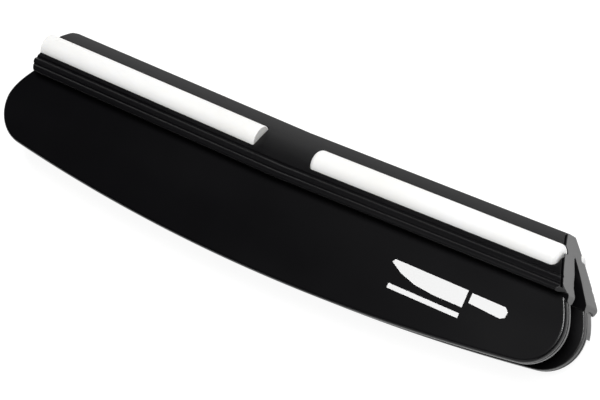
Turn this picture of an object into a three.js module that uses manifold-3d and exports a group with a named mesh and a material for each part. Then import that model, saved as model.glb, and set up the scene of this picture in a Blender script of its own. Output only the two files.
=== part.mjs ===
// Clip-on angle guide for sharpening knives. It slips over the spine of a kitchen blade.
// Two jaws meet at a thin sprung spine, grip the blade between their ribs, and carry two
// hard ceramic rods each, which slide on the whetstone. Millimetres, +Z up.
//
// The guide lies on its rear side: X runs along the ridge, Y points up to the ridge and
// Z is the thickness, with the front jaw on top. Sections are drawn in (w, t): w is the
// distance down from the ridge and t the distance out from the middle plane.

import * as THREE from 'three';
import { mergeVertices } from 'three/addons/utils/BufferGeometryUtils.js';
import Module from 'manifold-3d';

const wasm = await Module();
wasm.setup();

// ---------- driving dimensions ----------

const FIT = 0.3;                // clearance between neighbouring pieces
const DEPTH = 23.5;             // ridge to free edge, at the middle
const HALF_THICKNESS = 7.9;     // middle plane to the eave, the widest line
const RIDGE_DIP = 0.7;          // the ridge line is a very shallow V, lowest at the middle,
                                // and not sunk at all at the left end of the head
const DIP_FADE = [9.5, 19.5];   // below the head the dip fades out between these depths

const RUN = 60;                 // sections run this far each way before they are trimmed
const HEAD_LEFT = 48.7;         // blunt left end of the head, at the ridge
const HEAD_LEFT_FLARE = 0.08;   // how much longer the left end gets per mm down
const HEAD_LEFT_HEEL = [7, 0.7]; // below this depth it gets shorter again, this much per mm
const HEAD_RIGHT = 45.75;       // slanted right end, at the ridge
const HEAD_RIGHT_FLARE = 0.62;  // how much longer the right end gets per mm down

const CREST_HALF_WIDTH = 1.7;
const SLOPE = 0.72;             // growth of t per mm of w on the sloped flanks
const NOSE_DEPTH = 8.6;         // the slant of the right end stops here
const HEAD_TRIM = [-1, 11];     // depths between which the ends of the head are trimmed

const SPINE_RADIUS = 1.35;      // the thin sprung strip at the ridge

const ROD_RADIUS = 2.1;
const ROD_SINK = 0.25;          // rod centre below the flank surface
const ROD_DEPTH = 3.85;         // w of the flank point above the rod centre
const ROD_LENGTH = 43.3;
const ROD_GAP = 10.3;           // between the two rods of one jaw
const ROD_SHIFT = -0.95;        // middle of that gap
const ROD_SIDES = 40;
const ROD_ARC_STEPS = 5;
const ROD_CHAMFER = 0.35;       // both ends of the left rods
const ROD_ROUND = 1.4;          // both ends of the right rods
const CHANNEL_RUN_OUT = 5;      // the left channel runs this far out through the blunt end

const WING_INNER = 3;           // wing faces, out from the middle plane
const WING_OUTER = 5.15;
const WING_HALF_LENGTH = 52.35;
const WING_ROOT = 8.2;          // depth where the wing leaves the head
const WING_ROOT_LEFT = 49.4;    // how far the wing reaches there, to the left
const WING_ROOT_RIGHT = 50;     // and to the right
const WING_SHOULDER = 3.6;      // how far below the root its round shoulders are steered
const WING_CORNER = 6;
const FREE_EDGE_RADIUS = 328;
const WING_EDGE_ROUND = 0.6;

const LUG_LENGTH = 5;           // small lug outside the right end of the rear wing
const LUG_BOTTOM = 13.3;
const LUG_OUTER = 5.75;

const RIB_COUNT = 11;
const RIB_PITCH = 8;
const RIB_THICKNESS = 1.6;
const RIB_TIP = 0.9;            // rib tip, out from the middle plane
const RIB_TOP = 4.6;            // depths between which the ribs stand
const RIB_STRAIGHT = 13;
const RIB_BOTTOM = 18;
const RIB_ROOT = 0.4;           // how far the ribs run into the wing, so that they join it

const PLASTIC = { color: 0x1b1b1d, roughness: 0.5, metalness: 0 };
const CERAMIC = { color: 0xf4f3ef, roughness: 0.35, metalness: 0 };

// ---------- small helpers ----------

const flank = (w) => CREST_HALF_WIDTH + SLOPE * w;

const flankLength = Math.hypot(1, SLOPE);
const rodCentre = {
  w: ROD_DEPTH + ROD_SINK * SLOPE / flankLength,
  t: flank(ROD_DEPTH) - ROD_SINK / flankLength,
};

// The shallow V of the ridge, taken up by everything in the head.
function dip(x, w) {
  const [start, stop] = DIP_FADE;
  const fade = 1 - THREE.MathUtils.clamp((w - start) / (stop - start), 0, 1);
  return RIDGE_DIP * (1 - Math.abs(x) / HEAD_LEFT) * fade;
}

// Turns a geometry drawn in (x, w, t) into the part's own frame, on the front side.
function place(geometry) {
  const points = geometry.attributes.position;
  for (let i = 0; i < points.count; i += 1) {
    const x = points.getX(i);
    const w = points.getY(i);
    const t = points.getZ(i);
    points.setXYZ(i, x, w + dip(x, w), t);
  }
  geometry.scale(1, -1, 1);
  geometry.translate(0, DEPTH / 2, HALF_THICKNESS);
  flip(geometry);
  return geometry;
}

// Mirroring turns a surface inside out, so the triangles are wound the other way.
function flip(geometry) {
  const order = geometry.index.array;
  for (let i = 0; i < order.length; i += 3) {
    const first = order[i];
    order[i] = order[i + 1];
    order[i + 1] = first;
  }
}

function indexed(geometry) {
  geometry.deleteAttribute('normal');
  geometry.deleteAttribute('uv');
  return mergeVertices(geometry, 1e-4);
}

// A (w, t) section run along X, as far to the left as to the right, in two steps,
// so that a ring of points lies in the middle, where the ridge line bends.
function runAlong(section) {
  const geometry = new THREE.ExtrudeGeometry(section, {
    depth: 2 * RUN, bevelEnabled: false, steps: 2, curveSegments: 12,
  });
  return solid(place(indexed(geometry.applyMatrix4(alongX(-RUN)))));
}

// Stands a section drawn in (x, y) and extruded in z up as (w, t) along X, from a start.
function alongX(start) {
  return new THREE.Matrix4().set(
    0, 0, 1, start,
    1, 0, 0, 0,
    0, 1, 0, 0,
    0, 0, 0, 1,
  );
}

// An (x, w) outline given a thickness in t. The points keep their place, dip included.
function slab(outline, low, high, edgeRound = 0) {
  const geometry = new THREE.ExtrudeGeometry(outline, {
    depth: high - low - 2 * edgeRound,
    bevelEnabled: edgeRound > 0,
    bevelThickness: edgeRound,
    bevelSize: edgeRound,
    bevelOffset: -edgeRound,
    bevelSegments: 2,
    curveSegments: 16,
  });
  geometry.translate(0, 0, low + edgeRound);
  return solid(place(indexed(geometry)));
}

function solid(geometry) {
  const mesh = new wasm.Mesh({
    numProp: 3,
    vertProperties: new Float32Array(geometry.attributes.position.array),
    triVerts: new Uint32Array(geometry.index.array),
  });
  return new wasm.Manifold(mesh);
}

function toGeometry(body) {
  const mesh = body.getMesh();
  const geometry = new THREE.BufferGeometry();
  geometry.setAttribute('position', new THREE.BufferAttribute(mesh.vertProperties, 3));
  geometry.setIndex(new THREE.BufferAttribute(mesh.triVerts, 1));
  return geometry;
}

function closedShape(points) {
  return new THREE.Shape(points.map(([a, b]) => new THREE.Vector2(a, b)));
}

// ---------- rods ----------

const rodStarts = {
  left: ROD_SHIFT - ROD_GAP / 2 - ROD_LENGTH,
  right: ROD_SHIFT + ROD_GAP / 2,
};

// Half outline of a rod, from its left end to its right end, closed on the axis.
function rodOutline(length, radius, round, arcSteps) {
  const points = [[0, 0]];
  for (let i = 0; i <= arcSteps; i += 1) {
    const angle = (i / arcSteps) * Math.PI / 2;
    points.push([
      radius - round * (1 - Math.sin(angle)),
      round * (1 - Math.cos(angle)),
    ]);
  }
  for (let i = 0; i <= arcSteps; i += 1) {
    const angle = (i / arcSteps) * Math.PI / 2;
    points.push([
      radius - round * (1 - Math.cos(angle)),
      length - round * (1 - Math.sin(angle)),
    ]);
  }
  points.push([0, length]);
  return points.map(([r, h]) => new THREE.Vector2(r, h));
}

// A rod, or the channel around it when it is grown, along X at the rod's place.
function rodGeometry(start, length, radius, round) {
  const outline = rodOutline(length, radius, round, ROD_ARC_STEPS);
  const geometry = new THREE.LatheGeometry(outline, ROD_SIDES);
  geometry.applyMatrix4(new THREE.Matrix4().set(
    0, 1, 0, start,
    1, 0, 0, rodCentre.w,
    0, 0, -1, rodCentre.t,
    0, 0, 0, 1,
  ));
  return place(indexed(geometry));
}

function rod(side) {
  const round = side === 'left' ? ROD_CHAMFER : ROD_ROUND;
  return solid(rodGeometry(rodStarts[side], ROD_LENGTH, ROD_RADIUS, round));
}

// The left channel runs out through the blunt end. The right one stops in the slanted end,
// and just breaks through it near the ridge.
function channel(side) {
  const runOut = side === 'left' ? CHANNEL_RUN_OUT : 0;
  return solid(rodGeometry(
    rodStarts[side] - FIT - runOut,
    ROD_LENGTH + 2 * FIT + runOut,
    ROD_RADIUS + FIT,
    (side === 'left' ? ROD_CHAMFER : ROD_ROUND) + FIT,
  ));
}

// ---------- jaws ----------

// Section of a jaw's head: crest, sloped flank with two fine grooves, overhanging eave
// with its hook, and the inner wall back up to the hollow that the spine lies in.
function headSection() {
  const hollow = SPINE_RADIUS + FIT;
  const edge = Math.sqrt(hollow * hollow - SPINE_RADIUS * SPINE_RADIUS);
  const groove = (w, depth) => [w, flank(w) - depth];
  const section = closedShape([
    [0, edge],
    [0, CREST_HALF_WIDTH],
    groove(6.45, 0),
    groove(6.8, 0.4),
    groove(7.15, 0),
    groove(7.7, 0),
    groove(7.9, 0.25),
    groove(8.1, 0),
    groove(8.5, 0),
    [9.05, HALF_THICKNESS],
    [9.55, 7.6],
    [9.8, 7.05],
    [9.45, 6.4],
    [9.4, 5.9],
    [9.95, 5.1],
    [9.6, 3.6],
    [9.4, 2.8],
    [7.3, 2.1],
    [5.5, 1.25],
    [2 * SPINE_RADIUS, edge],
  ]);
  const start = Math.atan2(edge, SPINE_RADIUS);
  section.absarc(SPINE_RADIUS, 0, hollow, start, Math.PI - start, false);
  return section;
}

// Plan of the head: blunt on the left with a cut-back heel, slanted on the right.
function headPlan() {
  const [low, high] = HEAD_TRIM;
  const [heel, cutBack] = HEAD_LEFT_HEEL;
  const heelX = HEAD_LEFT + HEAD_LEFT_FLARE * heel;
  return closedShape([
    [-(HEAD_LEFT + HEAD_LEFT_FLARE * low), low],
    [HEAD_RIGHT + HEAD_RIGHT_FLARE * low, low],
    [HEAD_RIGHT + HEAD_RIGHT_FLARE * NOSE_DEPTH, NOSE_DEPTH],
    [HEAD_RIGHT + HEAD_RIGHT_FLARE * NOSE_DEPTH, high],
    [-(heelX - cutBack * (high - heel)), high],
    [-heelX, heel],
  ]);
}

// The block that gives whatever runs along the head its two ends.
function headEnds() {
  return slab(headPlan(), -HALF_THICKNESS, HALF_THICKNESS + 1);
}

// Plan of a wing: waisted ends, round corners and a bowed free edge.
function wingPlan() {
  const cornerX = WING_HALF_LENGTH - WING_CORNER;
  const centreW = DEPTH - FREE_EDGE_RADIUS;
  const between = FREE_EDGE_RADIUS - WING_CORNER;
  const cornerW = centreW + Math.sqrt(between * between - cornerX * cornerX);
  const turn = Math.atan2(cornerW - centreW, cornerX);
  const shoulderW = WING_ROOT + WING_SHOULDER;
  const plan = new THREE.Shape();
  plan.moveTo(-WING_ROOT_LEFT, WING_ROOT);
  plan.lineTo(WING_ROOT_RIGHT, WING_ROOT);
  plan.quadraticCurveTo(WING_HALF_LENGTH, shoulderW, WING_HALF_LENGTH, cornerW);
  plan.absarc(cornerX, cornerW, WING_CORNER, 0, turn, false);
  plan.absarc(0, centreW, FREE_EDGE_RADIUS, turn, Math.PI - turn, false);
  plan.absarc(-cornerX, cornerW, WING_CORNER, Math.PI - turn, Math.PI, false);
  plan.quadraticCurveTo(-WING_HALF_LENGTH, shoulderW, -WING_ROOT_LEFT, WING_ROOT);
  return plan;
}

// One grip rib, standing in from the wing with a lead-in towards the free edge.
function rib(x) {
  const section = closedShape([
    [RIB_TOP, RIB_TIP],
    [RIB_STRAIGHT, RIB_TIP],
    [RIB_BOTTOM, WING_INNER - RIB_ROOT / 2],
    [RIB_BOTTOM, WING_INNER + RIB_ROOT],
    [WING_ROOT, WING_INNER + RIB_ROOT],
    [RIB_TOP, RIB_TIP + RIB_ROOT],
  ]);
  const geometry = new THREE.ExtrudeGeometry(section, {
    depth: RIB_THICKNESS, bevelEnabled: false,
  });
  return solid(place(indexed(geometry.applyMatrix4(alongX(x - RIB_THICKNESS / 2)))));
}

// The lug follows the outline of the wing, from the head down to its square lower end.
function lug() {
  const start = WING_HALF_LENGTH - LUG_LENGTH;
  const block = slab(closedShape([
    [start, WING_ROOT],
    [RUN, WING_ROOT],
    [RUN, LUG_BOTTOM],
    [start, LUG_BOTTOM],
  ]), WING_INNER, LUG_OUTER);
  return slab(wingPlan(), WING_INNER, LUG_OUTER).intersect(block);
}

function jaw() {
  const head = runAlong(headSection()).intersect(headEnds());
  const wing = slab(wingPlan(), WING_INNER, WING_OUTER, WING_EDGE_ROUND);
  let body = head.add(wing);
  for (let i = 0; i < RIB_COUNT; i += 1) {
    body = body.add(rib((i - (RIB_COUNT - 1) / 2) * RIB_PITCH));
  }
  return body.subtract(channel('left')).subtract(channel('right'));
}

// ---------- spine ----------

function spine() {
  const section = new THREE.Shape();
  section.absarc(SPINE_RADIUS, 0, SPINE_RADIUS, 0, 2 * Math.PI, false);
  return runAlong(section).intersect(headEnds());
}

// ---------- assembly ----------

function piece(name, geometry, look) {
  const mesh = new THREE.Mesh(geometry, new THREE.MeshStandardMaterial(look));
  mesh.name = name;
  return mesh;
}

// The rear side is the front side mirrored in the middle plane. Only the lug is extra.
function mirrored(geometry) {
  const copy = geometry.clone();
  copy.translate(0, 0, -HALF_THICKNESS);
  copy.scale(1, 1, -1);
  copy.translate(0, 0, HALF_THICKNESS);
  flip(copy);
  return copy;
}

const group = new THREE.Group();
const plainJaw = jaw();
group.add(piece('front_jaw', toGeometry(plainJaw), PLASTIC));
group.add(piece('rear_jaw', mirrored(toGeometry(plainJaw.add(lug()))), PLASTIC));
group.add(piece('spine_spring', toGeometry(spine()), PLASTIC));
for (const side of ['left', 'right']) {
  const rodShape = toGeometry(rod(side));
  group.add(piece(`front_rod_${side}`, rodShape, CERAMIC));
  group.add(piece(`rear_rod_${side}`, mirrored(rodShape), CERAMIC));
}

export default group;
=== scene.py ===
"""Looks of the clip-on knife sharpening guide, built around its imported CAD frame."""

import math

import bmesh
import bpy
from mathutils import Matrix, Vector


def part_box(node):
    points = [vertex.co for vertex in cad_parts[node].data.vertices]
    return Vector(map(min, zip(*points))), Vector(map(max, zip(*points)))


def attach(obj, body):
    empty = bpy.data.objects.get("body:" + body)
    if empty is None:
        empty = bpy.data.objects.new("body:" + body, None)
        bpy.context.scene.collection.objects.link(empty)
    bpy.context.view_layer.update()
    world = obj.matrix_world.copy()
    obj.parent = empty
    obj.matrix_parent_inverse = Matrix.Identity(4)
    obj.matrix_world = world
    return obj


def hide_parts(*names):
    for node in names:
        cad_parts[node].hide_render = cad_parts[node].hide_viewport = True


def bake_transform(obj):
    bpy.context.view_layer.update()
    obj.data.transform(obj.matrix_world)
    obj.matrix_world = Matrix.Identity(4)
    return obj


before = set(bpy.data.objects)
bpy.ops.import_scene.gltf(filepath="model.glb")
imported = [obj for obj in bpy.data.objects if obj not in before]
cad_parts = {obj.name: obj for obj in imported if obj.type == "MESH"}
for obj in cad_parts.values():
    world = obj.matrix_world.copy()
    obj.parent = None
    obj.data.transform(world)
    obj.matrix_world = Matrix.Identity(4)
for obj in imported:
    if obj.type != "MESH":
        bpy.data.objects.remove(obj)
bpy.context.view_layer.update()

MM = 0.001
SPINE_OVERRUN = 0.1 * MM                # the CAD's spine reaches this far past HEAD_LEFT

# ---------- what the frame gives ----------

jaw_low, jaw_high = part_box("front_jaw")
rear_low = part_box("rear_jaw")[0]
spine_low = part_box("spine_spring")[0]

RIDGE_Y = jaw_high.y                    # the ridge, where depth w is 0
MIDDLE_Z = jaw_high.z - (jaw_high.z - rear_low.z) / 2
HALF_THICKNESS = jaw_high.z - MIDDLE_Z  # middle plane to the eave
DEPTH = jaw_high.y - jaw_low.y          # ridge to free edge
WING_HALF = jaw_high.x                  # middle to the end of a wing
HEAD_LEFT = -spine_low.x - SPINE_OVERRUN   # blunt left end of the head

# ---------- the moulding's own dimensions, in metres ----------

RIDGE_DIP = 0.7 * MM            # the ridge is a very shallow V, lowest at the middle
DIP_FADE = (9.5 * MM, 19.5 * MM)          # between these depths the dip fades out
HEAD_RIGHT = 45.75 * MM         # right end of the head at the ridge, which slants
HEAD_RIGHT_FLARE = 0.62         # outwards by this much per unit of depth
NOSE_DEPTH = 8.6 * MM           # the slant of the right end stops here
HEAD_PAST = 5 * MM              # the untrimmed head runs this far past the wings
RELIEF_PAST = 4 * MM            # the relief's cut runs this far past the slanted end

CREST_HALF = 1.7 * MM
SLOPE = 0.95                    # growth of t per unit of w on the flanks, at the crest
FLATTENING = 27.8               # and how fast the slope falls away below it, per metre

WING_INNER = 3 * MM             # wing faces, out from the middle plane
WING_OUTER = 5.15 * MM
WING_ROOT = 8.2 * MM            # depth where the wing leaves the head
WING_ROOT_LEFT = 49.4 * MM
WING_ROOT_RIGHT = 50 * MM
WING_SHOULDER = 3.6 * MM        # how far below the root the round shoulders are steered
WING_CORNER = 6 * MM
RIM_PROUD = 0.2 * MM            # the rims stand this far out of the wings' plan
FREE_EDGE_RADIUS = 328 * MM

LUG_LENGTH = 5 * MM             # small lug outside the right end of the rear wing
LUG_BOTTOM = 13.3 * MM
LUG_OUTER = 6.2 * MM
LUG_BEVEL = 0.2 * MM

POCKET_GAP = 0.12 * MM          # the rods sit this loosely in their pockets
POCKET_RUN_OUT = 3 * MM         # the left pockets run out through the blunt end
ROD_ROUND = 0.95 * MM           # ends of the right rods
ROD_CHAMFER = 0.15 * MM         # ends of the left rods
ROD_SIDES = 64
ROD_END_STEPS = 10

SEAM_INSET = 0.3 * MM           # groove beside the slanted end
SEAM_HALF = 0.2 * MM
SEAM_DEPTH = 0.55 * MM

MOUTH_REACH = 1.1 * MM          # length of the widened mouth of the slot
MOUTH_PAST = 3 * MM             # how far its cut runs out of the slanted end
MOUTH_NARROWING = 0.62          # width of the cut at its inner end, against its outer end

RIB_COUNT = 11
RIB_PITCH = 8 * MM
RIB_HALF = 0.8 * MM
RIB_TIP = 0.9 * MM
RIB_BEVEL = 0.15 * MM
RIB_ROOT = 0.4 * MM             # the ribs run this far into the wing
RIB_SPAN = (4.6 * MM, 13 * MM, 18 * MM)   # top, end of the straight tip, foot

BODY_SHARP = 32                 # edges sharper than this many degrees stay sharp
ROD_SHARP = 50

# The printed pictogram, a plain knife over a flat stone: convex outlines on the front wing.
PRINT_MIDDLE = (33.4 * MM, -3.6 * MM)
PRINT_SHAPES = (
    ((-10.2, 1.4), (-8.2, 0.3), (-5.4, -0.5), (-2, -0.8), (3, -0.8), (3, 1.9), (-9.8, 1.9)),
    ((3.7, 0.2), (9.2, -0.1), (9.9, 0.3), (10, 1.2), (9.4, 1.75), (3.7, 1.75)),
    ((-9.4, -2.5), (3, -2.5), (3, -1.75), (-9.4, -1.75)),
)
INK_REACH = 0.05 * MM           # the ink lies only this close to the wing's outer face
NOISE_RANGE = (0.3, 0.7)        # where nearly all of a noise texture's values lie

# ---------- the camera ----------

VIEW_AZIMUTH = math.radians(27.9)     # turned from straight on towards the slanted end
VIEW_ELEVATION = math.radians(0.81)
VIEW_ROLL = math.radians(23.48)
VIEW_DISTANCE = 380 * MM
VIEW_LENS = 147.1
VIEW_ASIDE = 2.17 * MM          # how far the aim lies off the centre, across and down
VIEW_DOWN = -0.15 * MM
VIEW_CENTRE = Vector((-0.35 * MM, RIDGE_Y - 11 * MM, MIDDLE_Z))


def make_camera():
    sa, ca = math.sin(VIEW_AZIMUTH), math.cos(VIEW_AZIMUTH)
    se, ce = math.sin(VIEW_ELEVATION), math.cos(VIEW_ELEVATION)
    to_camera = Vector((sa * ce, -se, ca * ce))
    across = Vector((ca, 0, -sa))
    down = Vector((-se * sa, -ce, -se * ca))
    place = VIEW_CENTRE + VIEW_ASIDE * across + VIEW_DOWN * down + VIEW_DISTANCE * to_camera
    right = math.cos(VIEW_ROLL) * across - math.sin(VIEW_ROLL) * down
    up = -math.sin(VIEW_ROLL) * across - math.cos(VIEW_ROLL) * down
    data = bpy.data.cameras.new("camera")
    data.lens = VIEW_LENS
    data.sensor_width = 36
    data.clip_start = 0.01
    data.clip_end = 20
    camera = bpy.data.objects.new("camera", data)
    turn = Matrix((right, up, to_camera)).transposed().to_4x4()
    camera.matrix_world = Matrix.Translation(place) @ turn
    bpy.context.scene.collection.objects.link(camera)
    bpy.context.scene.camera = camera


# ---------- mesh helpers ----------
# Shapes are drawn in (x, w, t): w is the depth below the ridge, t the distance in front of
# the middle plane. placed() takes them to the row frame.


def dip(x, w):
    """How far the shallow V of the ridge lowers a point."""
    start, stop = DIP_FADE
    fade = 1 - min(max((w - start) / (stop - start), 0), 1)
    return RIDGE_DIP * (1 - abs(x) / HEAD_LEFT) * fade


def placed(x, w, t):
    return (x, RIDGE_Y - w - dip(x, w), MIDDLE_Z + t)


def mesh_object(name, points, faces):
    data = bpy.data.meshes.new(name)
    data.from_pydata([placed(*p) for p in points], [], faces)
    data.validate()
    work = bmesh.new()
    work.from_mesh(data)
    bmesh.ops.recalc_face_normals(work, faces=work.faces)
    work.to_mesh(data)
    work.free()
    made = bpy.data.objects.new(name, data)
    bpy.context.scene.collection.objects.link(made)
    return made


def ring_mesh(name, rings):
    """A closed solid through rings of points, all with the same count, with flat ends."""
    count = len(rings[0])
    points = [p for ring in rings for p in ring]
    faces = [list(range(count)), list(range(len(points) - count, len(points)))]
    for r in range(len(rings) - 1):
        for i in range(count):
            j = (i + 1) % count
            a = r * count
            faces.append([a + i, a + j, a + count + j, a + count + i])
    return mesh_object(name, points, faces)


def arc(centre, radius, start, stop, steps):
    """Points of an arc, from the start angle to the stop angle in degrees."""
    found = []
    for i in range(steps + 1):
        angle = math.radians(start + (stop - start) * i / steps)
        found.append((centre[0] + radius * math.cos(angle), centre[1] + radius * math.sin(angle)))
    return found


def rounded(corners, steps=5):
    """A closed outline through (w, t, radius) corners, each rounded by its radius."""
    found = []
    count = len(corners)
    for i in range(count):
        here = Vector(corners[i][:2])
        radius = corners[i][2]
        if radius == 0:
            found.append(tuple(here))
            continue
        before = (Vector(corners[i - 1][:2]) - here).normalized()
        after = (Vector(corners[(i + 1) % count][:2]) - here).normalized()
        half = before.angle(after) / 2
        reach = radius / math.tan(half)
        start = here + before * reach
        stop = here + after * reach
        for k in range(steps + 1):
            u = k / steps
            found.append(tuple((1 - u) ** 2 * start + 2 * u * (1 - u) * here + u * u * stop))
    return found


def boolean(base, other, how):
    step = base.modifiers.new(how.lower(), "BOOLEAN")
    step.operation = how
    step.solver = "EXACT"
    step.object = other
    apply_modifiers(base)
    bpy.data.objects.remove(other)


def apply_modifiers(made):
    bpy.context.view_layer.update()
    graph = bpy.context.evaluated_depsgraph_get()
    result = bpy.data.meshes.new_from_object(made.evaluated_get(graph))
    made.modifiers.clear()
    made.data = result


# ---------- the moulding ----------


def flank(w, proud=0.0):
    return CREST_HALF + SLOPE * w - FLATTENING * w * w + proud


def corner(w, t, radius=0):
    """A rounded corner of a section, given in millimetres."""
    return (w * MM, t * MM, radius * MM)


def flank_corner(w, proud=0.0, radius=0.0):
    """The same on the flank, or proud of it."""
    return (w * MM, flank(w * MM, proud * MM), radius * MM)


def half_contour(hooked):
    """Outside of one half of the head in (w, t, radius), from the crest to the wing."""
    if hooked:
        eave = [
            corner(8.95, 7.94, 0.2),
            corner(9.5, 7.5, 0.2),
            corner(9.8, 7, 0.15),
            corner(9.35, 6.3, 0.3),
        ]
    else:
        eave = [
            corner(8.5, 7.6, 0.25),
            corner(8.65, 7, 0.2),
            corner(8.3, 6.4, 0.3),
            corner(8.25, 5.3, 0.3),
        ]
    return [
        corner(0, 0.9),
        (0.03 * MM, CREST_HALF, 0.3 * MM),
        *[flank_corner(w) for w in (0.8, 1.6, 2.4, 3.2, 4, 4.8, 5.6)],
        flank_corner(6.05, 0, 0.1),
        flank_corner(6.2, -0.22, 0.1),
        flank_corner(6.4, -0.22, 0.1),
        flank_corner(6.6, 0, 0.12),
        flank_corner(7.3, 0, 0.12),
        flank_corner(7.42, -0.16, 0.06),
        flank_corner(7.52, -0.16, 0.06),
        flank_corner(7.68, 0, 0.12),
        flank_corner(8.15, -0.02, 0.15),
        *eave,
        corner(9.3, 5.02, 0.1),
        corner(9.8, 3.6),
        corner(9.5, 2.9, 0.15),
        corner(7.3, 2.15, 0.8),
        corner(5.4, 1.3, 1.2),
        corner(3, 0.35, 0.3),
    ]


def head_outline():
    front = half_contour(hooked=False)
    rear = [(w, -t, radius) for w, t, radius in reversed(half_contour(hooked=True))]
    return rounded(front + rear)


def head():
    """The head runs past both ends, with a ring where the ridge bends, and is then trimmed."""
    reach = WING_HALF + HEAD_PAST
    outline = head_outline()
    made = ring_mesh("head", [[(x, w, t) for w, t in outline] for x in (-reach, 0, reach)])
    boolean(made, head_ends(), "INTERSECT")
    return made


def head_ends():
    """A tall block with the plan of the head: blunt on the left, slanted on the right."""
    low, high = -1 * MM, 11 * MM
    nose = nose_x(NOSE_DEPTH)
    left = [
        (-(HEAD_LEFT - inset * MM), w * MM, radius * MM)
        for inset, w, radius in (
            (5, -1, 0), (2.3, 0, 0.5), (1, 0.25, 1), (0, 1.6, 1),
            (-0.45, 6.8, 1), (1.6, 9.6, 0.6), (1.7, 11, 0),
        )
    ]
    right = [
        (nose, high, 0),
        (nose, NOSE_DEPTH, 1 * MM),
        (nose_x(low), low, 0),
    ]
    outline = rounded(left + right, 8)
    tall = 2 * HALF_THICKNESS
    return ring_mesh("ends", [[(x, w, t) for x, w in outline] for t in (-tall, tall)])


def nose_x(w):
    """Where the slanted right end of the head is, at a depth."""
    return HEAD_RIGHT + HEAD_RIGHT_FLARE * min(w, NOSE_DEPTH)


def nose_seam(sign):
    """A fine V groove along the edge between the flank and the slanted end."""
    rings = []
    top = 12 * MM       # well clear of the flank
    for w in (-1 * MM, 2 * MM, 5 * MM, NOSE_DEPTH):
        x = nose_x(w) - SEAM_INSET
        rings.append([
            (x - SEAM_HALF, w, sign * top),
            (x - SEAM_HALF, w, sign * flank(w)),
            (x, w, sign * (flank(w) - SEAM_DEPTH)),
            (x + SEAM_HALF, w, sign * flank(w)),
            (x + SEAM_HALF, w, sign * top),
        ])
    return ring_mesh("seam", rings)


def front_relief():
    """Cuts the outer corner of the front half's slanted end back, most of all at the eave."""
    rings = []
    outside = 8.2 * MM  # just clear of the eave
    for w, back, t in (
        (6.6, 0, 7.2), (7.4, 0.3, 6.8), (8, 1.3, 6), (8.6, 2.1, 5.25), (10.5, 2.6, 5.16),
    ):
        x = nose_x(w * MM)
        rings.append([
            (x - back * MM, w * MM, outside),
            (x + 0.1 * MM, w * MM, t * MM),
            (x + RELIEF_PAST, w * MM, t * MM),
            (x + RELIEF_PAST, w * MM, outside),
        ])
    return ring_mesh("relief", rings)


def mouth_relief():
    """Widens the right end of the slot between the halves, more so on the front half."""
    outline = [
        (2.8, 0), (3.6, -0.9), (5, -1.9), (6.6, -2.75), (9, -3.05), (11, -3.05),
        (11, 3.05), (9.3, 3.05), (8.4, 3.45), (7.2, 3.45), (6.4, 2.9), (5, 1.5), (3.7, 0.4),
    ]
    rings = []
    for out, narrow in ((-MOUTH_REACH, MOUTH_NARROWING), (MOUTH_PAST, 1)):
        rings.append([
            (HEAD_RIGHT + HEAD_RIGHT_FLARE * w * MM + out, w * MM, narrow * t * MM)
            for w, t in outline
        ])
    return ring_mesh("mouth", rings)


def wing_outline(inset):
    """Plan of a wing in (x, w), drawn in by inset all round but for the root."""
    half = WING_HALF - inset
    corner_radius = WING_CORNER - inset
    edge_radius = FREE_EDGE_RADIUS - inset
    corner_x = half - corner_radius
    centre_w = DEPTH - FREE_EDGE_RADIUS
    between = edge_radius - corner_radius
    corner_w = centre_w + math.sqrt(between ** 2 - corner_x ** 2)
    turn = math.degrees(math.atan2(corner_w - centre_w, corner_x))
    shoulder = WING_ROOT + WING_SHOULDER
    steps = 16

    def side(sign, root):
        points = []
        for k in range(steps + 1):
            u = k / steps
            x = (1 - u) ** 2 * (root - inset) + (2 * u * (1 - u) + u * u) * half
            w = (1 - u) ** 2 * WING_ROOT + 2 * u * (1 - u) * shoulder + u * u * corner_w
            points.append((sign * x, w))
        round_corner = arc((corner_x, corner_w), corner_radius, 0, turn, 12)[1:]
        return points + [(sign * x, w) for x, w in round_corner]

    right = side(1, WING_ROOT_RIGHT)
    left = side(-1, WING_ROOT_LEFT)
    edge = arc((0, centre_w), edge_radius, turn, 180 - turn, 60)[1:-1]
    return right + edge + left[::-1]


def wing(sign):
    """A wing with a rounded outer rim and a fine groove around its side."""
    rim = [     # inset from the plan, and t, from the inner face to the outer one
        (0.1, 3.0), (-0.12, 3.08), (-0.2, 3.3), (-0.2, 3.9), (-0.08, 4.02), (-0.08, 4.12),
        (-0.2, 4.24), (-0.2, 4.55), (-0.15, 4.77), (-0.03, 4.97), (0.14, 5.1), (0.35, 5.15),
    ]
    rings = [
        [(x, w, sign * t * MM) for x, w in wing_outline(inset * MM)] for inset, t in rim
    ]
    return ring_mesh("wing", rings)


def rib(x, sign):
    """A grip rib with a bevelled tip and a lead-in towards the free edge."""
    top, straight, foot = RIB_SPAN
    outline = rounded([
        (top, RIB_TIP, 0.25 * MM),
        (straight, RIB_TIP, 1.5 * MM),
        (foot, WING_INNER - 0.1 * MM, 0),
        (foot, WING_INNER + RIB_ROOT, 0),
        (8.5 * MM, WING_INNER + RIB_ROOT, 0),
        (top + 0.2 * MM, 1.7 * MM, 0),
    ])
    rings = []
    for across, bevel in ((-1, RIB_BEVEL), (-0.8, 0), (0.8, 0), (1, RIB_BEVEL)):
        rings.append([
            (x + across * RIB_HALF, w, sign * (t + bevel if t < 2 * MM else t))
            for w, t in outline
        ])
    return ring_mesh("rib", rings)


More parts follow.
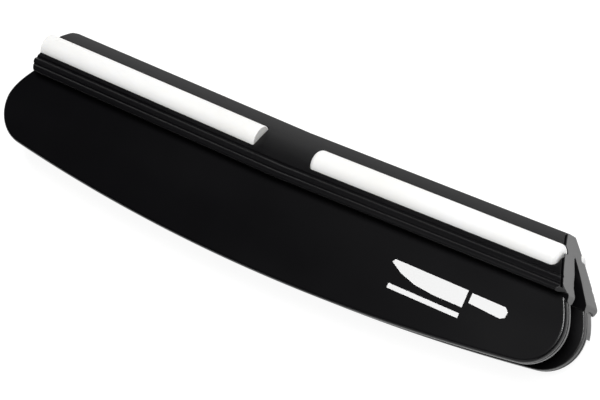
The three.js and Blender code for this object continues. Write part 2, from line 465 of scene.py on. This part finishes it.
def lug():
    """Follows the rim of the rear wing, from the head down to a square lower end."""
    low = WING_HALF - LUG_LENGTH
    side = [p for p in wing_outline(-RIM_PROUD) if p[0] > low and p[1] < LUG_BOTTOM]
    bottom = max(w for x, w in side)
    outline = side + [(low, bottom), (low, WING_ROOT)]
    rings = []
    for bevel, t in (
        (0, WING_OUTER - 1 * MM), (0, LUG_OUTER - LUG_BEVEL), (LUG_BEVEL, LUG_OUTER),
    ):
        rings.append([
            (x - bevel if x > low else x, w - bevel if w > WING_ROOT + 1 * MM else w, -t)
            for x, w in outline
        ])
    return ring_mesh("lug", rings)


def pocket(rod_name):
    """The space of a rod. The left ones run out through the blunt end."""
    low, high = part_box(rod_name)
    start = low.x - POCKET_GAP
    stop = high.x + POCKET_GAP
    if rod_name.endswith("left"):
        start -= POCKET_RUN_OUT
        round_end = ROD_CHAMFER + POCKET_GAP
    else:
        round_end = ROD_ROUND + POCKET_GAP
    radius = (high.z - low.z) / 2 + POCKET_GAP
    return lathe("pocket", start, stop, radius, round_end, *rod_centre(low, high))


def rod_centre(low, high):
    """Depth and t of a rod's axis. Its box leans with the ridge, so the middle counts."""
    middle_x = (low.x + high.x) / 2
    w = RIDGE_Y - (low.y + high.y) / 2 - dip(middle_x, 0)
    return w, (low.z + high.z) / 2 - MIDDLE_Z


def lathe(name, start, stop, radius, round_end, middle_w, middle_t):
    """A round bar along x with rounded ends."""
    profile = []
    for k in range(ROD_END_STEPS + 1):
        angle = math.radians(90 * k / ROD_END_STEPS)
        profile.append((
            start + round_end * (1 - math.sin(angle)),
            radius - round_end * (1 - math.cos(angle)),
        ))
    profile = sorted(profile)
    profile += [(start + stop - x, out) for x, out in reversed(profile)]
    rings = []
    for x, out in profile:
        circle = arc((0, 0), out, 0, 360, ROD_SIDES)[:-1]
        rings.append([(x, middle_w + w, middle_t + t) for w, t in circle])
    return ring_mesh(name, rings)


def make_body():
    body = head()
    body.name = "moulded_body"
    boolean(body, front_relief(), "DIFFERENCE")
    for sign in (1, -1):
        boolean(body, nose_seam(sign), "DIFFERENCE")
    for sign in (1, -1):
        boolean(body, wing(sign), "UNION")
        for i in range(RIB_COUNT):
            boolean(body, rib((i - (RIB_COUNT - 1) / 2) * RIB_PITCH, sign), "UNION")
    boolean(body, lug(), "UNION")
    boolean(body, mouth_relief(), "DIFFERENCE")
    for half in ("front", "rear"):
        for side in ("left", "right"):
            boolean(body, pocket(f"{half}_rod_{side}"), "DIFFERENCE")
    finish_surface(body)
    keep_rest_place(body)
    return body


def keep_rest_place(made):
    """Stores where each point is at rest, so that the material doesn't slide as it bends."""
    kept = made.data.attributes.new("rest_place", "FLOAT_VECTOR", "POINT")
    for point in made.data.vertices:
        kept.data[point.index].vector = point.co


def finish_surface(made):
    """Welds what the booleans left, and shades smooth but for the sharp edges."""
    work = bmesh.new()
    work.from_mesh(made.data)
    bmesh.ops.remove_doubles(work, verts=work.verts, dist=0.002 * MM)
    bmesh.ops.dissolve_degenerate(work, edges=work.edges, dist=0.002 * MM)
    work.to_mesh(made.data)
    work.free()
    made.data.shade_smooth()
    made.data.set_sharp_from_angle(angle=math.radians(BODY_SHARP))
    weigh = made.modifiers.new("weigh", "WEIGHTED_NORMAL")
    weigh.keep_sharp = True


# ---------- materials ----------


def new_material(name):
    made = bpy.data.materials.new(name)
    made.use_nodes = True
    nodes = made.node_tree.nodes
    return made, nodes, made.node_tree.links, nodes["Principled BSDF"]


def rest_vector(nodes):
    where = nodes.new("ShaderNodeAttribute")
    where.attribute_name = "rest_place"
    return where.outputs["Vector"]


def noise(nodes, links, scale, detail, rough, stretch=(1, 1, 1), rest=False):
    """A noise texture in the object's place, or in its place at rest."""
    grow = nodes.new("ShaderNodeMapping")
    grow.inputs["Scale"].default_value = stretch
    if rest:
        links.new(rest_vector(nodes), grow.inputs["Vector"])
    else:
        links.new(nodes.new("ShaderNodeTexCoord").outputs["Object"], grow.inputs["Vector"])
    made = nodes.new("ShaderNodeTexNoise")
    made.inputs["Scale"].default_value = scale
    made.inputs["Detail"].default_value = detail
    made.inputs["Roughness"].default_value = rough
    links.new(grow.outputs["Vector"], made.inputs["Vector"])
    return made.outputs["Fac"]


def spread(nodes, links, value, low, high):
    """A noise value spread over low to high."""
    made = nodes.new("ShaderNodeMapRange")
    made.inputs["From Min"].default_value = NOISE_RANGE[0]
    made.inputs["From Max"].default_value = NOISE_RANGE[1]
    made.inputs["To Min"].default_value = low
    made.inputs["To Max"].default_value = high
    links.new(value, made.inputs["Value"])
    return made.outputs["Result"]


def mix_colour(nodes, links, factor, first, second):
    """From first at 0 to second at 1, each a colour or another node's output."""
    made = nodes.new("ShaderNodeMix")
    made.data_type = "RGBA"
    for index, colour in ((6, first), (7, second)):
        if isinstance(colour, tuple):
            made.inputs[index].default_value = (*colour, 1)
        else:
            links.new(colour, made.inputs[index])
    links.new(factor, made.inputs[0])
    return made.outputs[2]


def bump(nodes, links, height, distance, strength, normal=None):
    made = nodes.new("ShaderNodeBump")
    made.inputs["Distance"].default_value = distance
    made.inputs["Strength"].default_value = strength
    links.new(height, made.inputs["Height"])
    if normal is not None:
        links.new(normal, made.inputs["Normal"])
    return made.outputs["Normal"]


def calculate(nodes, links, operation, first, second=0.0):
    """A maths node on numbers or other nodes' outputs."""
    made = nodes.new("ShaderNodeMath")
    made.operation = operation
    for socket, value in zip(made.inputs, (first, second)):
        if isinstance(value, (int, float)):
            socket.default_value = value
        else:
            links.new(value, socket)
    return made.outputs["Value"]


def outline_mask(nodes, links, place, corners):
    """1 inside a convex outline drawn anticlockwise on the front wing, 0 outside it."""
    total = None
    for i, (x, y) in enumerate(corners):
        next_x, next_y = corners[(i + 1) % len(corners)]
        inward = Vector((y - next_y, next_x - x, 0)).normalized()
        start = Vector((PRINT_MIDDLE[0] + x * MM, PRINT_MIDDLE[1] + y * MM, 0))
        along = nodes.new("ShaderNodeVectorMath")
        along.operation = "DOT_PRODUCT"
        along.inputs[1].default_value = inward
        links.new(place, along.inputs[0])
        inside = calculate(nodes, links, "GREATER_THAN", along.outputs["Value"], inward.dot(start))
        total = inside if total is None else calculate(nodes, links, "MULTIPLY", total, inside)
    return total


def print_mask(nodes, links):
    """1 on the pictogram's ink, 0 elsewhere: only on the outer face of the front wing."""
    place = rest_vector(nodes)
    parts = nodes.new("ShaderNodeSeparateXYZ")
    links.new(place, parts.inputs["Vector"])
    off_face = calculate(nodes, links, "SUBTRACT", parts.outputs["Z"], MIDDLE_Z + WING_OUTER)
    off_face = calculate(nodes, links, "ABSOLUTE", off_face)
    on_face = calculate(nodes, links, "LESS_THAN", off_face, INK_REACH)
    ink = None
    for corners in PRINT_SHAPES:
        shape = outline_mask(nodes, links, place, corners)
        ink = shape if ink is None else calculate(nodes, links, "MAXIMUM", ink, shape)
    return calculate(nodes, links, "MULTIPLY", ink, on_face)


def plastic_material():
    """Black moulded plastic: fine spark texture, slow mottling, soft edges and the ink."""
    made, nodes, links, shader = new_material("moulded_plastic")
    grain = noise(nodes, links, 5200, 2, 0.55, rest=True)
    mottle = noise(nodes, links, 110, 3, 0.5, rest=True)
    flow = noise(nodes, links, 60, 2, 0.5, (0.35, 1, 1), rest=True)
    mottled = spread(nodes, links, mottle, 0, 1)
    black = mix_colour(nodes, links, mottled, (0.0012, 0.0011, 0.0016), (0.0019, 0.0018, 0.0024))
    soft = nodes.new("ShaderNodeBevel")
    soft.samples = 6
    soft.inputs["Radius"].default_value = 0.16 * MM
    ink = print_mask(nodes, links)
    base = mix_colour(nodes, links, ink, black, (0.82, 0.82, 0.82))
    links.new(base, shader.inputs["Base Color"])
    links.new(spread(nodes, links, flow, 0.28, 0.34), shader.inputs["Roughness"])
    ripple = bump(nodes, links, flow, 0.02 * MM, 0.5, soft.outputs["Normal"])
    links.new(bump(nodes, links, grain, 0.012 * MM, 0.55, ripple), shader.inputs["Normal"])
    shader.inputs["Specular IOR Level"].default_value = 0.44
    return made


def ceramic_material():
    """White ground ceramic: faint rings of grinding, a fine grain and a warm-cool drift."""
    made, nodes, links, shader = new_material("ground_ceramic")
    rings = noise(nodes, links, 900, 2, 0.6, (3.5, 0.25, 0.25))
    grain = noise(nodes, links, 7000, 2, 0.5)
    drift = noise(nodes, links, 70, 2, 0.5)
    drifted = spread(nodes, links, drift, 0, 1)
    base = mix_colour(nodes, links, drifted, (0.86, 0.855, 0.835), (0.9, 0.9, 0.895))
    links.new(base, shader.inputs["Base Color"])
    links.new(spread(nodes, links, rings, 0.32, 0.42), shader.inputs["Roughness"])
    shader.inputs["Subsurface Weight"].default_value = 0.15
    shader.inputs["Subsurface Radius"].default_value = (1, 0.95, 0.85)
    shader.inputs["Subsurface Scale"].default_value = 0.6 * MM
    ground = bump(nodes, links, rings, 0.004 * MM, 0.5)
    links.new(bump(nodes, links, grain, 0.003 * MM, 0.4, ground), shader.inputs["Normal"])
    return made


def floor_material():
    """A pale floor that glows a little, so that only a faint shadow shows on it."""
    made, nodes, links, shader = new_material("pale_floor")
    drifted = spread(nodes, links, noise(nodes, links, 6, 2, 0.5), 0, 1)
    base = mix_colour(nodes, links, drifted, (0.2, 0.2, 0.2), (0.22, 0.22, 0.22))
    links.new(base, shader.inputs["Base Color"])
    shader.inputs["Roughness"].default_value = 0.9
    shader.inputs["Specular IOR Level"].default_value = 0.1
    shader.inputs["Emission Color"].default_value = (1, 1, 1, 1)
    shader.inputs["Emission Strength"].default_value = 0.93
    return made


# ---------- rods ----------


def make_rods(look):
    """Each rod again with finer ends, in the place of its CAD node."""
    for name in [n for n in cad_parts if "_rod_" in n]:
        low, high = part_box(name)
        radius = (high.z - low.z) / 2
        round_end = ROD_CHAMFER if name.endswith("left") else ROD_ROUND
        rod = lathe(name + "_ground", low.x, high.x, radius, round_end, *rod_centre(low, high))
        rod.data.materials.append(look)
        rod.data.shade_smooth()
        rod.data.set_sharp_from_angle(angle=math.radians(ROD_SHARP))
        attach(rod, "front_half" if name.startswith("front") else "rear_half")
        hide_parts(name)


# ---------- floor and light ----------


def make_floor(look):
    bpy.ops.mesh.primitive_plane_add(size=6, location=(0, 0, 0))
    floor = bpy.context.object
    floor.name = "floor"
    floor.data.materials.append(look)


def area_light(name, place, size, power):
    """A rectangular light that points at the middle of the floor."""
    data = bpy.data.lights.new(name, "AREA")
    data.shape = "RECTANGLE"
    data.size, data.size_y = size
    data.energy = power
    light = bpy.data.objects.new(name, data)
    light.location = place
    light.rotation_euler = (-Vector(place)).to_track_quat("-Z", "Y").to_euler()
    bpy.context.scene.collection.objects.link(light)


def make_light():
    world = bpy.data.worlds.new("studio")
    world.use_nodes = True
    sky = world.node_tree.nodes["Background"]
    sky.inputs["Color"].default_value = (1, 1, 1, 1)
    sky.inputs["Strength"].default_value = 0.01
    bpy.context.scene.world = world
    area_light("top", (0.15, 0.2, 0.64), (0.42, 0.16), 5.5)
    area_light("ridge", (-0.33, 0.62, 0.06), (0.6, 0.1), 0.2)
    area_light("front", (0, -0.6, 0.36), (0.45, 0.2), 0.4)
    bpy.context.scene.view_settings.view_transform = "Standard"
    bpy.context.scene.view_settings.look = "None"


make_camera()
plastic = plastic_material()
body = make_body()
body.data.materials.clear()
body.data.materials.append(plastic)
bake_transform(body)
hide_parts("front_jaw", "rear_jaw", "spine_spring")
make_rods(ceramic_material())
make_floor(floor_material())
make_light()
